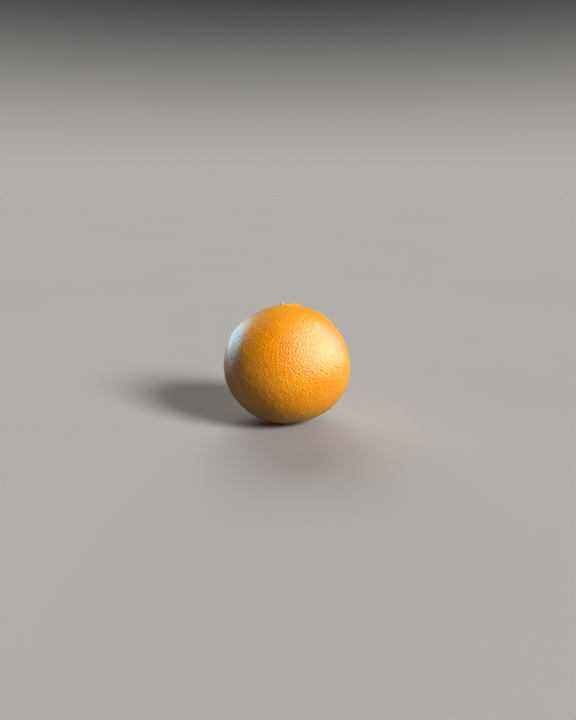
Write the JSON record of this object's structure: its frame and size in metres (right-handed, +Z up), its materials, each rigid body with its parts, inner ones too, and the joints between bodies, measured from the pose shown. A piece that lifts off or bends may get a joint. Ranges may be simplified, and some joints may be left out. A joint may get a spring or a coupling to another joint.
{
  "type": "whole orange",
  "caption": "Whole unpeeled citrus fruit, slightly flattened, with a raised collar round its dried stem button and a small resting flat.",
  "frame": {"origin": "centre of the small flat that the fruit rests on, at its underside", "axes": "+Z up from the resting flat; -Y is the front, the side the picture shows; +X is the right-hand side seen from the front. The stem end leans back and a little to the left of +Z"},
  "size_m": [0.076, 0.0758, 0.0718],
  "materials": {
    "peel": "waxy pitted orange peel with a soft sheen",
    "button": "dry matt olive-brown stem button"
  },
  "bodies": {
    "root": {"orange": "peel", "stem_button": "button"}
  },
  "joints": []
}
